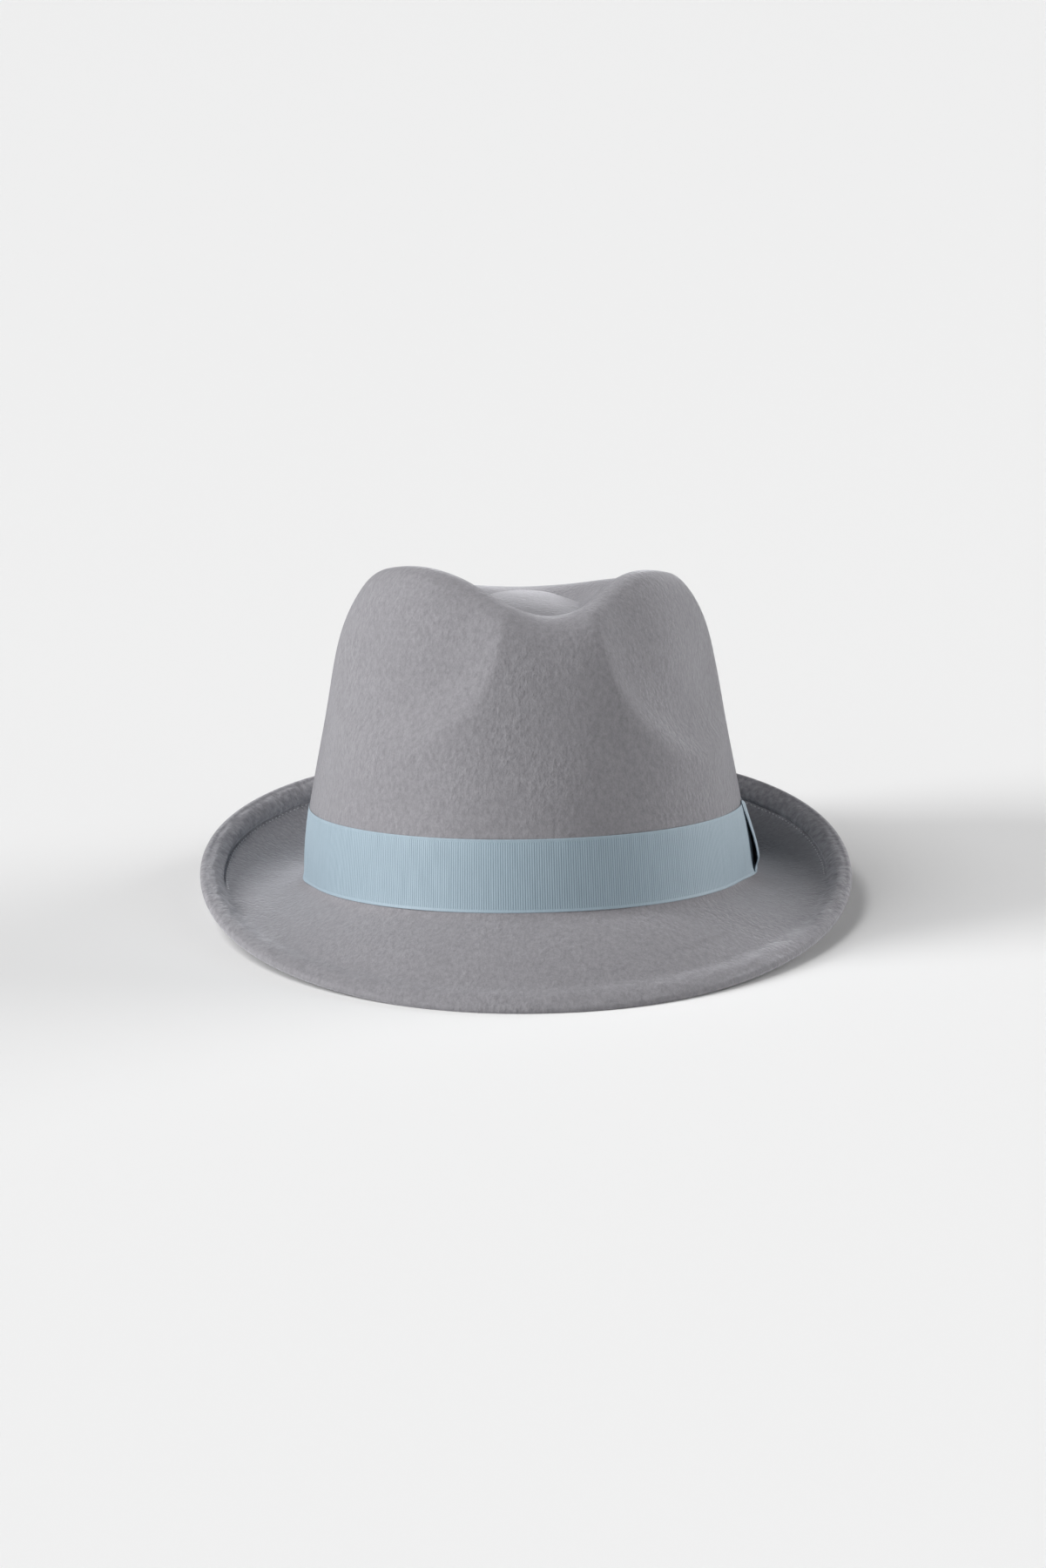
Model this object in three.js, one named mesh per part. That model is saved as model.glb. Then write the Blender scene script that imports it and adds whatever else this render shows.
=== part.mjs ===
// Felt trilby with a ribbon band and a flat side bow, in millimetres, +Z up.
// The front of the hat faces -Y and the wearer's left side, with the bow, faces +X.
import * as THREE from "three";

// Head opening and crown, measured on the outside of the felt
const HEAD_WIDTH = 170.5;
const HEAD_LENGTH = 202.5;
const HEAD_OVAL = 2.12;
const CROWN_HEIGHT = 122;
const FELT = 2;

// Brim, and its edge, which is turned over, stitched down and pressed to a share of the felt's thickness
const BRIM_WIDTH = 45;
const BRIM_CURL = 0.94;
const HEM_WIDTH = 9.8;
const HEM_STEP = 0.9;
const HEM_PRESSED = 0.75;
const HEM_PUFFED = 0.2;

// Ribbon band: its lower edge over the crown's foot, its height and thickness, and the gap between pieces
const BAND_LOW = 1.5;
const BAND_HEIGHT = 27;
const BAND_THICK = 0.7;
const GAP = 0.3;

// Flat bow: the angle of its front end in degrees, its length, its knot and how far its ends stand off
const BOW_ANGLE = 77;
const BOW_LENGTH = 58;
const BOW_STAND = 2.2;
const KNOT_WIDTH = 12;

// How far the felt is pressed flat where the hat rests
const PRESSED_FLAT = 0.6;

// Brim by station round the hat: share of the brim's width, slope at the crown and at the rim in degrees
const BRIM = [
  { station: "front", width: 1.02, atBreak: -29, atRim: -51 },
  { station: "quarter", width: 0.915, atBreak: -34, atRim: -30 },
  { station: "side", width: 0.95, atBreak: -21, atRim: 26 },
  { station: "rear", width: 1.01, atBreak: 5, atRim: 65 },
  { station: "back", width: 0.98, atBreak: 12, atRim: 86 },
];

// Guide rows across the brim, as shares of its width from the crown out
const BRIM_SHARES = [1, 0.86, 0.7, 0.5, 0.3, 0.12];

// Guide rows up the crown, as shares of the head opening at each station
const REACH = [
  { row: "break", front: 1, quarter: 1, side: 1, rear: 1, back: 1 },
  { row: "base", front: 1, quarter: 0.995, side: 1.015, rear: 0.995, back: 0.995 },
  { row: "band_top", front: 0.985, quarter: 0.975, side: 0.995, rear: 0.98, back: 0.975 },
  { row: "low_wall", front: 0.955, quarter: 0.95, side: 0.945, rear: 0.94, back: 0.94 },
  { row: "mid_wall", front: 0.92, quarter: 0.935, side: 0.885, rear: 0.895, back: 0.9 },
  { row: "high_wall", front: 0.885, quarter: 0.92, side: 0.825, rear: 0.845, back: 0.86 },
  { row: "shoulder", front: 0.845, quarter: 0.815, side: 0.7, rear: 0.745, back: 0.79 },
  { row: "crest", front: 0.77, quarter: 0.7, side: 0.62, rear: 0.66, back: 0.695 },
  { row: "inner_lip", front: 0.665, quarter: 0.585, side: 0.48, rear: 0.545, back: 0.6 },
  { row: "valley", front: 0.54, quarter: 0.47, side: 0.39, rear: 0.445, back: 0.5 },
  { row: "island_edge", front: 0.4, quarter: 0.345, side: 0.28, rear: 0.32, back: 0.36 },
  { row: "island_top", front: 0.17, quarter: 0.145, side: 0.12, rear: 0.135, back: 0.15 },
  { row: "island_mid", front: 0, quarter: 0, side: 0, rear: 0, back: 0 },
];

// The same rows as shares of the crown's height, and the share of the front dip that each takes
const RISE = [
  { row: "break", front: 0, quarter: 0, side: 0, rear: 0, back: 0, dip: 0 },
  { row: "base", front: 0.05, quarter: 0.05, side: 0.05, rear: 0.05, back: 0.05, dip: 0 },
  { row: "band_top", front: 0.22, quarter: 0.21, side: 0.2, rear: 0.2, back: 0.2, dip: 0 },
  { row: "low_wall", front: 0.42, quarter: 0.395, side: 0.37, rear: 0.375, back: 0.38, dip: 0 },
  { row: "mid_wall", front: 0.62, quarter: 0.6, side: 0.575, rear: 0.56, back: 0.55, dip: 0 },
  { row: "high_wall", front: 0.82, quarter: 0.82, side: 0.81, rear: 0.76, back: 0.76, dip: 0.15 },
  { row: "shoulder", front: 0.97, quarter: 1.005, side: 0.93, rear: 0.885, back: 0.87, dip: 0.7 },
  { row: "crest", front: 1.05, quarter: 1.04, side: 0.96, rear: 0.925, back: 0.865, dip: 1 },
  { row: "inner_lip", front: 0.98, quarter: 0.95, side: 0.95, rear: 0.895, back: 0.86, dip: 0.6 },
  { row: "valley", front: 0.88, quarter: 0.83, side: 0.82, rear: 0.815, back: 0.81, dip: 0.1 },
  { row: "island_edge", front: 0.87, quarter: 0.86, side: 0.86, rear: 0.855, back: 0.85, dip: 0 },
  { row: "island_top", front: 0.9, quarter: 0.895, side: 0.905, rear: 0.905, back: 0.905, dip: 0 },
  { row: "island_mid", front: 0.905, quarter: 0.905, side: 0.905, rear: 0.905, back: 0.905, dip: 0 },
];

// The dip in the crown's front edge, in shares of the crown's height and degrees, and the top's sideways lean
const FRONT_DIP = { depth: 0.16, centre: 6, halfWidth: 26, sharpness: 1.9 };
const TOP_LEAN = 0.015;

// The two front pinches, each a scoop with a firm edge: its middle in degrees round the hat and as a share of
// the crown's height, its slant toward the front in degrees per crown height, its reach outward and inward in
// degrees and down and up in shares, and its depth as a share of the head's width
const PINCHES = [
  { side: -1, centre: -36, slant: 25, middle: 0.75, outer: 36, inner: 25, down: 0.26, up: 0.5, depth: 0.04 },
  { side: 1, centre: 45, slant: 28, middle: 0.72, outer: 34, inner: 24, down: 0.29, up: 0.5, depth: 0.053 },
];

// How flat the scoops' floors and how firm their edges are, as powers
const PINCH_FLOOR = 1.4;
const PINCH_EDGE = 1.2;

// Where the pinches fade out on the crown's top, as shares of the head's width
const PINCH_INNER = 0.18;
const PINCH_FADE = 0.2;

// The bow's pieces from the crown out: where they start and end as shares of the bow's length, their lower
// and upper edges at the ends and at the waist as shares of the band's height, and their thickness as a
// share of the band's. Then how far the same pieces stand off at both ends, in shares
const KNOT_HALF = KNOT_WIDTH / 2 / BOW_LENGTH;
const KNOT_ENDS = { from: 0.5 - KNOT_HALF, to: 0.5 + KNOT_HALF };
const BOW = [
  { piece: "bow_under", from: 0.04, to: 1.08, ends: [0.05, 0.95], waist: [0.12, 0.86], plies: 0.5 },
  { piece: "bow_over", from: 0, to: 1, ends: [0.03, 1.05], waist: [0.1, 0.88], plies: 1 },
  { piece: "bow_knot", ...KNOT_ENDS, ends: [0.06, 0.92], waist: [0.06, 0.92], plies: 0.7 },
];
const BOW_STANDS = [
  { front: 0.5, rear: 0.25 },
  { front: 1, rear: 0.6 },
  { front: 0, rear: 0 },
];
const BOW_BULGE_AT = 0.14;

// Fineness of the mesh
const COLUMNS = 72;
const EDGE_TURNS = 4;
const BAND_ROWS = 4;
const BOW_COLUMNS = 10;
const BOW_ROWS = 6;
const WALK_STEPS = 24;
const SEARCH_STEPS = 30;
const TILT_LIMITS = [-0.3, 0.5];
const SMALL = 1e-3;

// Colours
const FELT_GREY = "#8d8d93";
const RIBBON_BLUE = "#a3bccb";

const DEGREE = Math.PI / 180;
const STATIONS = BRIM.map((row) => row.station);

// Places along the felt's section, counted in guides from the rim (0) to the middle of the crown's top
const BREAK = BRIM_SHARES.length;
const SHOULDER = BREAK + 5;
const ISLAND = BREAK + 9;
const POLE = BREAK + REACH.length - 1;

// Rows of the section's two faces: where the wall's rows begin, and how many rows each stretch has
const INSIDE = { foot: BREAK + 0.5, brim: 8, wall: 6, top: 8, island: 3 };
const OUTSIDE = { foot: BREAK - 1, brim: 7, wall: 11, top: 12, island: 6 };
const HEM_ROWS = [0.38, 0.72, 0.97];

const clamp = (value, low, high) => Math.min(high, Math.max(low, value));
const wrap = (angle) => angle - 2 * Math.PI * Math.round(angle / (2 * Math.PI));

function smooth(value) {
  const x = clamp(value, 0, 1);
  return x * x * (3 - 2 * x);
}

// A cosine series through values at evenly spaced stations from the front to the back
function aroundHat(angle, values) {
  const last = values.length - 1;
  const half = (index) => (index === 0 || index === last ? 0.5 : 1);
  let sum = 0;
  for (let k = 0; k <= last; k += 1) {
    const weight = values.reduce(
      (total, value, j) => total + value * half(j) * Math.cos((Math.PI * j * k) / last),
      0,
    );
    sum += (2 / last) * weight * half(k) * Math.cos(k * angle);
  }
  return sum;
}

const aroundCrown = (angle, row) => aroundHat(angle, STATIONS.map((station) => row[station]));
const aroundBrim = (angle, column) => aroundHat(angle, BRIM.map((row) => row[column]));

// The direction out of the head opening, level
function outward(angle) {
  return new THREE.Vector3(Math.sin(angle) / HEAD_WIDTH, -Math.cos(angle) / HEAD_LENGTH, 0).normalize();
}

// The head opening's oval, scaled by a reach and set at a height
function ovalPoint(angle, reach, height) {
  const sine = Math.sin(angle);
  const cosine = Math.cos(angle);
  const grow = (Math.abs(cosine) ** HEAD_OVAL + Math.abs(sine) ** HEAD_OVAL) ** (-1 / HEAD_OVAL);
  const across = (HEAD_WIDTH / 2) * reach * grow * sine;
  const along = (HEAD_LENGTH / 2) * reach * grow * cosine;
  return new THREE.Vector3(across, -along, height);
}

// Walks out along the brim, whose slope changes from the crown to the rim
function brimGuide(angle, share) {
  const first = aroundBrim(angle, "atBreak") * DEGREE;
  const last = aroundBrim(angle, "atRim") * DEGREE;
  const step = (BRIM_WIDTH * aroundBrim(angle, "width") * share) / WALK_STEPS;
  let reach = 0;
  let rise = 0;
  for (let i = 0; i < WALK_STEPS; i += 1) {
    const slope = first + (last - first) * (((i + 0.5) / WALK_STEPS) * share) ** BRIM_CURL;
    reach += step * Math.cos(slope);
    rise += step * Math.sin(slope);
  }
  return ovalPoint(angle, 1, rise).addScaledVector(outward(angle), reach);
}

function crownGuide(angle, index) {
  const turn = Math.abs(wrap(angle - FRONT_DIP.centre * DEGREE)) / (FRONT_DIP.halfWidth * DEGREE);
  const dip = FRONT_DIP.depth * Math.exp(-(turn ** FRONT_DIP.sharpness)) + TOP_LEAN * Math.sin(angle);
  const rise = aroundCrown(angle, RISE[index]) - dip * RISE[index].dip;
  return ovalPoint(angle, aroundCrown(angle, REACH[index]), rise * CROWN_HEIGHT);
}

// All guide points at one angle, with one more beyond each end
const guideCache = new Map();
function guidesAt(angle) {
  if (!guideCache.has(angle)) {
    const brim = BRIM_SHARES.map((share) => brimGuide(angle, share));
    const points = brim.concat(REACH.map((_, index) => crownGuide(angle, index)));
    const before = points[0].clone().multiplyScalar(2).sub(points[1]);
    const after = points[POLE].clone().multiplyScalar(2).sub(points[POLE - 1]);
    guideCache.set(angle, [before, ...points, after]);
  }
  return guideCache.get(angle);
}

// Weights of the four guides round a place on a smooth uniform curve
function weightsAt(place) {
  const span = clamp(Math.floor(place), 0, POLE - 1);
  const t = place - span;
  const first = (1 - t) ** 3;
  const second = 3 * t ** 3 - 6 * t ** 2 + 4;
  const third = -3 * t ** 3 + 3 * t ** 2 + 3 * t + 1;
  const last = t ** 3;
  return { span, weights: [first, second, third, last].map((weight) => weight / 6) };
}

// How deep the pinches press the felt in at a point
function pinchDepth(point, angle) {
  const height = point.z / CROWN_HEIGHT;
  const radius = Math.hypot(point.x, point.y) / HEAD_WIDTH;
  const nearTop = smooth((radius - PINCH_INNER) / PINCH_FADE);
  return PINCHES.reduce((total, pinch) => {
    const along = height - pinch.middle;
    const across = wrap(angle - pinch.centre * DEGREE) * pinch.side + pinch.slant * DEGREE * along;
    const width = (across > 0 ? pinch.outer : pinch.inner) * DEGREE;
    const length = along > 0 ? pinch.up : pinch.down;
    const off = (across / width) ** 2 + (along / length) ** 2;
    const pressed = Math.max(1 - off ** PINCH_FLOOR, 0) ** PINCH_EDGE;
    return total + pinch.depth * HEAD_WIDTH * pressed * nearTop;
  }, 0);
}

// The felt's outer surface at a place and an angle
function surface(place, angle) {
  const guides = guidesAt(angle);
  const { span, weights } = weightsAt(place);
  const point = new THREE.Vector3();
  weights.forEach((weight, i) => point.addScaledVector(guides[span + i], weight));
  const inward = new THREE.Vector3(-point.x, -point.y, 0).normalize();
  return point.addScaledVector(inward, pinchDepth(point, angle));
}

// The direction out of the felt
function normal(place, angle) {
  if (place > POLE - SMALL) return new THREE.Vector3(0, 0, 1);
  const low = Math.max(place - SMALL, 0);
  const along = surface(place + SMALL, angle).sub(surface(low, angle));
  const round = surface(place, angle + SMALL).sub(surface(place, angle - SMALL));
  return round.cross(along).normalize();
}

function feltPoint(place, angle, lift) {
  return surface(place, angle).addScaledVector(normal(place, angle), lift);
}

// The value between two others at which a test turns false
function search(from, to, stillBefore) {
  let low = from;
  let high = to;
  for (let i = 0; i < SEARCH_STEPS; i += 1) {
    const middle = (low + high) / 2;
    if (stillBefore(middle)) low = middle;
    else high = middle;
  }
  return (low + high) / 2;
}

// The place on the brim that lies a distance in from the rim
function placeFromRim(distance, angle) {
  const wanted = 1 - distance / (BRIM_WIDTH * aroundBrim(angle, "width"));
  const shares = [2 * BRIM_SHARES[0] - BRIM_SHARES[1], ...BRIM_SHARES, 0, 0];
  return search(0, BREAK - 1, (place) => {
    const { span, weights } = weightsAt(place);
    return weights.reduce((sum, weight, i) => sum + weight * shares[span + i], 0) > wanted;
  });
}

// The place on the crown's wall at a height over its foot
function placeAtHeight(height, angle) {
  return search(BREAK - 1, SHOULDER, (place) => surface(place, angle).z < height);
}

// A number of evenly spaced places from one up to, but without, another
function places(from, to, count) {
  return Array.from({ length: count }, (_, i) => from + ((to - from) * i) / count);
}

// All places of one face of the section, from a place on the brim up to the pole
function facePlaces(start, face) {
  return [
    ...places(start, face.foot, face.brim),
    ...places(face.foot, SHOULDER, face.wall),
    ...places(SHOULDER, ISLAND, face.top),
    ...places(ISLAND, POLE, face.island),
  ];
}

// One section of the felt from the crown's top inside, under the brim, round its edge and back up outside
function feltSection(angle) {
  const hemLift = FELT * HEM_PRESSED;
  const radius = (FELT + hemLift) / 2;
  const edge = placeFromRim(radius, angle);
  const hemEnd = placeFromRim(HEM_WIDTH, angle);
  const brimStart = placeFromRim(HEM_WIDTH + HEM_STEP, angle);
  const inside = facePlaces(edge, INSIDE).slice(1).reverse();
  const centre = feltPoint(edge, angle, (hemLift - FELT) / 2);
  const tip = surface(0, angle).sub(surface(edge, angle)).normalize();
  const up = normal(edge, angle);
  const round = Array.from({ length: EDGE_TURNS + 1 }, (_, i) => {
    const turn = -Math.PI / 2 + (Math.PI * i) / EDGE_TURNS;
    const out = centre.clone().addScaledVector(tip, radius * Math.cos(turn));
    return out.addScaledVector(up, radius * Math.sin(turn));
  });
  const hem = HEM_ROWS.map((share) => {
    const puff = FELT * HEM_PUFFED * Math.sin(Math.PI * share);
    return feltPoint(edge + (hemEnd - edge) * share, angle, hemLift + puff);
  });
  const outside = facePlaces(brimStart, OUTSIDE);
  return [
    ...inside.map((place) => feltPoint(place, angle, -FELT)),
    ...round,
    ...hem,
    ...outside.map((place) => feltPoint(place, angle, 0)),
  ];
}

// How the bare hat rests: tipped back until the front rim and the back of the brim touch
function restingTilt(points) {
  const heightOf = (point, tilt) => point.z * Math.cos(tilt) - point.y * Math.sin(tilt);
  const lowest = (half, tilt) => half.reduce((low, point) => Math.min(low, heightOf(point, tilt)), Infinity);
  const front = points.filter((point) => point.y < 0);
  const rear = points.filter((point) => point.y >= 0);
  return search(...TILT_LIMITS, (tilt) => lowest(front, tilt) < lowest(rear, tilt));
}

const ANGLES = Array.from({ length: COLUMNS }, (_, i) => (2 * Math.PI * i) / COLUMNS);
const SECTIONS = ANGLES.map(feltSection);
const STANDING = new THREE.Matrix4().makeRotationX(-restingTilt(SECTIONS.flat()));
const TILTED = SECTIONS.flat().map((point) => point.clone().applyMatrix4(STANDING));
const EXTENT = new THREE.Box3().setFromPoints(TILTED);
const CENTRE = EXTENT.getCenter(new THREE.Vector3());

// Sets a point down as the hat rests, with the felt pressed flat where it touches
function settle(point) {
  const placed = point.clone().applyMatrix4(STANDING);
  placed.x -= CENTRE.x;
  placed.y -= CENTRE.y;
  placed.z = Math.max(placed.z - EXTENT.min.z - PRESSED_FLAT, 0);
  return placed;
}

function meshFrom(name, positions, triangles, material) {
  const geometry = new THREE.BufferGeometry();
  const numbers = positions.flatMap((point) => settle(point).toArray());
  geometry.setAttribute("position", new THREE.Float32BufferAttribute(numbers, 3));
  geometry.setIndex(triangles);
  geometry.computeVertexNormals();
  const mesh = new THREE.Mesh(geometry, material);
  mesh.name = name;
  return mesh;
}

// Two triangles across the four corners of one face between neighbouring sections
function facePair(hereLow, hereHigh, nextLow, nextHigh) {
  return [hereLow, nextLow, nextHigh, hereLow, nextHigh, hereHigh];
}

// A solid turned from sections round the hat, closed at both poles
function feltBody(material) {
  const rows = SECTIONS[0].length;
  const positions = SECTIONS.flat();
  const inner = positions.push(feltPoint(POLE, 0, -FELT)) - 1;
  const outer = positions.push(feltPoint(POLE, 0, 0)) - 1;
  const triangles = [];
  for (let i = 0; i < COLUMNS; i += 1) {
    const here = i * rows;
    const next = ((i + 1) % COLUMNS) * rows;
    triangles.push(inner, next, here);
    for (let j = 0; j < rows - 1; j += 1) {
      triangles.push(...facePair(here + j, here + j + 1, next + j, next + j + 1));
    }
    triangles.push(outer, here + rows - 1, next + rows - 1);
  }
  return meshFrom("felt_body", positions, triangles, material);
}

// A point off the crown's wall at a height over its foot
function wallPoint(height, angle, off) {
  return surface(placeAtHeight(height, angle), angle).addScaledVector(outward(angle), off);
}

// A ring of ribbon round the crown's foot
function ribbonBand(material) {
  const ring = ANGLES.map((angle) => {
    const shares = Array.from({ length: BAND_ROWS }, (_, i) => i / (BAND_ROWS - 1));
    const heights = shares.map((share) => BAND_LOW + BAND_HEIGHT * share);
    const outside = heights.map((height) => wallPoint(height, angle, GAP + BAND_THICK));
    const inside = heights.map((height) => wallPoint(height, angle, GAP)).reverse();
    return [...outside, ...inside];
  });
  const rows = ring[0].length;
  const triangles = [];
  for (let i = 0; i < COLUMNS; i += 1) {
    const here = i * rows;
    const next = ((i + 1) % COLUMNS) * rows;
    for (let j = 0; j < rows; j += 1) {
      const k = (j + 1) % rows;
      triangles.push(...facePair(here + j, here + k, next + j, next + k));
    }
  }
  return meshFrom("hat_band", ring.flat(), triangles, material);
}

// How near a place along the bow is to its end, from 0 beside the knot to 1
function endShare(share) {
  return smooth((Math.abs(share - 0.5) - KNOT_HALF) / (0.5 - KNOT_HALF));
}

// How far a bow piece lies off the felt: all the pieces under it, and more towards its ends and low down
function bowOff(index, share, upShare) {
  const { front, rear } = BOW_STANDS[index];
  const under = BOW.slice(0, index).reduce((sum, lower) => sum + lower.plies * BAND_THICK + GAP, 0);
  const bulge = upShare < BOW_BULGE_AT ? upShare / BOW_BULGE_AT : (1 - upShare) / (1 - BOW_BULGE_AT);
  const stand = BOW_STAND * (share < 0.5 ? front : rear);
  return GAP + BAND_THICK + GAP + under + stand * endShare(share) * smooth(bulge);
}

// One column of a bow piece: its outer face upward, then its inner face downward
function bowColumn(index, share) {
  const { plies, ends, waist } = BOW[index];
  const angle = BOW_ANGLE * DEGREE + (BOW_LENGTH * share) / (HEAD_LENGTH / 2);
  const [low, high] = [0, 1].map((edge) => waist[edge] + (ends[edge] - waist[edge]) * endShare(share));
  const face = (thick) =>
    Array.from({ length: BOW_ROWS + 1 }, (_, i) => {
      const upShare = i / BOW_ROWS;
      const height = BAND_LOW + BAND_HEIGHT * (low + (high - low) * upShare);
      return wallPoint(height, angle, bowOff(index, share, upShare) + thick);
    });
  return [...face(plies * BAND_THICK), ...face(0).reverse()];
}

// A flat piece of the bow, laid over the band
function bowPiece(index, material) {
  const { piece, from, to } = BOW[index];
  const shares = Array.from({ length: BOW_COLUMNS + 1 }, (_, i) => from + ((to - from) * i) / BOW_COLUMNS);
  const grid = shares.map((share) => bowColumn(index, share));
  const rows = grid[0].length;
  const triangles = [];
  for (let i = 0; i < BOW_COLUMNS; i += 1) {
    const here = i * rows;
    const next = (i + 1) * rows;
    for (let j = 0; j < rows; j += 1) {
      const k = (j + 1) % rows;
      triangles.push(...facePair(here + j, here + k, next + j, next + k));
    }
  }
  const last = BOW_COLUMNS * rows;
  for (let j = 0; j < BOW_ROWS; j += 1) {
    const across = rows - 1 - j;
    triangles.push(...facePair(across, across - 1, j, j + 1));
    triangles.push(...facePair(last + j, last + j + 1, last + across, last + across - 1));
  }
  return meshFrom(piece, grid.flat(), triangles, material);
}

const felt = () => new THREE.MeshStandardMaterial({ color: FELT_GREY, roughness: 0.95 });
const ribbon = () => new THREE.MeshStandardMaterial({ color: RIBBON_BLUE, roughness: 0.7 });

const hat = new THREE.Group();
hat.name = "trilby";
hat.add(feltBody(felt()));
hat.add(ribbonBand(ribbon()));
BOW.forEach((_, index) => hat.add(bowPiece(index, ribbon())));

export default hat;
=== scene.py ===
"""A grey felt trilby with a pale blue ribbon band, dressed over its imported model.

Sizes are in millimetres up to the point where a mesh is made, and in metres from there on.
The front of the hat faces -Y and the wearer's left side, with the bow, faces +X.
"""
import math

import bpy
import numpy as np
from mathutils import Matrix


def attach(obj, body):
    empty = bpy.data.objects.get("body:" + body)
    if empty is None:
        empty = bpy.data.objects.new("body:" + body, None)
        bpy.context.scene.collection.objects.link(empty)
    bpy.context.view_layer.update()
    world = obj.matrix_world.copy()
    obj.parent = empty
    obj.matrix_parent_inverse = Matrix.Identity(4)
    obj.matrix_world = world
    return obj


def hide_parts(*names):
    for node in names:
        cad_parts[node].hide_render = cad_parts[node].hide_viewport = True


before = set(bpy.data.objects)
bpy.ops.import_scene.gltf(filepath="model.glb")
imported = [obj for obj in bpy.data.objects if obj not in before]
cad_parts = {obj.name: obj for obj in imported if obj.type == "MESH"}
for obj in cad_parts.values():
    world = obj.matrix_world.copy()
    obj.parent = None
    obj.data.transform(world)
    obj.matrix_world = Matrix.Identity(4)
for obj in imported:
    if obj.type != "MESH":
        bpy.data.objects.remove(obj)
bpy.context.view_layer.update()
BODY = "root"
MM = 0.001
TINY = 1e-12

# Head opening and crown, measured on the outside of the felt
HEAD_WIDTH = 170.5
HEAD_LENGTH = 202.5
HEAD_OVAL = 2.12
CROWN_HEIGHT = 122
FELT = 2

# Brim, and its edge, which is turned over, stitched down and pressed to a share of the felt's thickness
BRIM_WIDTH = 45
BRIM_CURL = 0.94
HEM_WIDTH = 9.8
HEM_PRESSED = 0.75
HEM_PUFFED = 0.5

# Where the turned edge is pressed smooth into the brim and from where it is crisp, in degrees either side of
# the front. Where it is smooth, its thickness fades between two distances from the rim, and it rolls by a
# share of the felt's thickness
HEM_SMOOTH_TO = 84
HEM_CRISP_FROM = 97
HEM_SOFT = (5, 12)
HEM_ROLL = 0.4

# The turned edge ends in a rounded lip, then a groove, then a shallow channel that holds the stitches
LIP = 0.9
GROOVE = 0.4
CHANNEL_AT = 1.2
CHANNEL = 0.12

# Rows across the turned edge: their count and the first one's share of its width, the turns of the lip in
# degrees, the steps past the lip with their depths as shares of the groove and then of the channel, and the
# steps from there out to the open brim
HEM_ROWS = 12
HEM_FIRST_ROW = 0.1
LIP_TURNS = (15, 30, 45, 60, 75, 90)
GROOVE_STEPS = ((0.15, 1), (0.45, 0.6))
CHANNEL_STEPS = ((0.8, 0.8), (CHANNEL_AT, 1), (CHANNEL_AT + 0.5, 0.6), (CHANNEL_AT + 1.1, 0))
OPEN_STEPS = (1, 2, 3, 4.5, 6, 8, 10)

# How the turned edge differs round the hat: its thickness as a share, its width, and how full its puff is
THICKNESS_WAVE = 0.08
WIDTH_WAVE = 0.25
PUFF_POWER = 0.8

# Stitches: their pitch, length and thickness, how sharply the edge has to show beside them, how far they
# stray along it as a share of the pitch and across it, their slant in radians, their lengths as shares, how
# high they stand as a share of their thickness, how blunt they are, and the rings and spokes of their meshes
STITCH_PITCH = 2.5
STITCH_LENGTH = 1.0
STITCH_THICK = 0.5
STITCHES_SHOW = 0.15
STITCH_STRAY = 0.08
STITCH_STRAY_ACROSS = 0.1
STITCH_SLANT = 0.25
STITCH_LENGTHS = (0.8, 1.15)
STITCH_STANDS = 0.2
STITCH_BLUNT = 0.6
STITCH_RINGS = 7
STITCH_SPOKES = 8

# Ribbon: the band's lower edge over the crown's foot, its height, the ribbon's thickness, and the gaps that
# it keeps from the felt and from ribbon under it
BAND_LOW = 1.5
BAND_HEIGHT = 27
RIBBON_PLY = 0.2
SEAT = 0.12
LAID = 0.06

# The ribs' pitch, depth and bluntness, the width of the ribbon's woven edges, and the level of painted shade
# on these edges, from 0 as dark as between the ribs to 1 as light as along them
RIB_PITCH = 0.9
RIB_DEPTH = 0.1
RIB_BLUNT = 0.7
SELVAGE = 1.0
EDGE_RIB_SHADE = 0.8

# A ribbon's section from its edge inward: height over the edge, depth as a share of the ribbon's thickness,
# how far it is sunk below that, and the share of the ribs that shows there
RIBBON_EDGE = (
    {"rise": 0, "depth": 0.5, "sunk": 0, "rib": 0.15},
    {"rise": 0.1, "depth": 0.88, "sunk": 0, "rib": 0.15},
    {"rise": 0.3, "depth": 1, "sunk": 0, "rib": 0.15},
    {"rise": 0.75 * SELVAGE, "depth": 1, "sunk": 0, "rib": 0.35},
    {"rise": SELVAGE, "depth": 1, "sunk": 0.07, "rib": 0.2},
    {"rise": 1.3 * SELVAGE, "depth": 1, "sunk": 0, "rib": 1},
)

# Rows of a ribbon's open face and of its back, as shares of its width, and how far from its edge the open
# face starts
OPEN_ROWS = (0.08, 0.13, 0.19, 0.26, 0.36, 0.5, 0.75)
BACK_ROWS = (0.995, 0.6, 0.36, 0.26, 0.19, 0.13, 0.08, 0.005)
OPEN_OVER = 1.5 * SELVAGE

# Where the band stands off the felt: middle and half width in degrees, how far it bellies and how far its
# lower edge flares. Below, the share of the band's height over which the flare dies out
BAND_STANDS = (
    {"middle": 80, "half_width": 15, "belly": 1.9, "flare": 1.5},
    {"middle": -84, "half_width": 12, "belly": 0, "flare": 1.1},
)
FLARE_FADE = 0.1

# Flat bow: the angle of its front end in degrees, its length, how far its ends stand off, its knot's width,
# how round the knot's ends turn in, and the loop's thickness in plies, with the air between them
BOW_ANGLE = 77
BOW_LENGTH = 58
BOW_STAND = 2.2
KNOT_WIDTH = 12
WRAP_TURN = 0.9
LOOP_PLIES = 2.2

# How far the felt is pressed flat where the hat rests
PRESSED_FLAT = 0.6

# Brim by station from the front to the back: share of its width, slope at the crown and at the rim in degrees
BRIM = {
    "width": (1.02, 0.915, 0.95, 1.01, 0.98),
    "at_break": (-29, -34, -21, 5, 12),
    "at_rim": (-51, -30, 26, 65, 86),
}
BRIM_SHARES = (1, 0.86, 0.7, 0.5, 0.3, 0.12)

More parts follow.
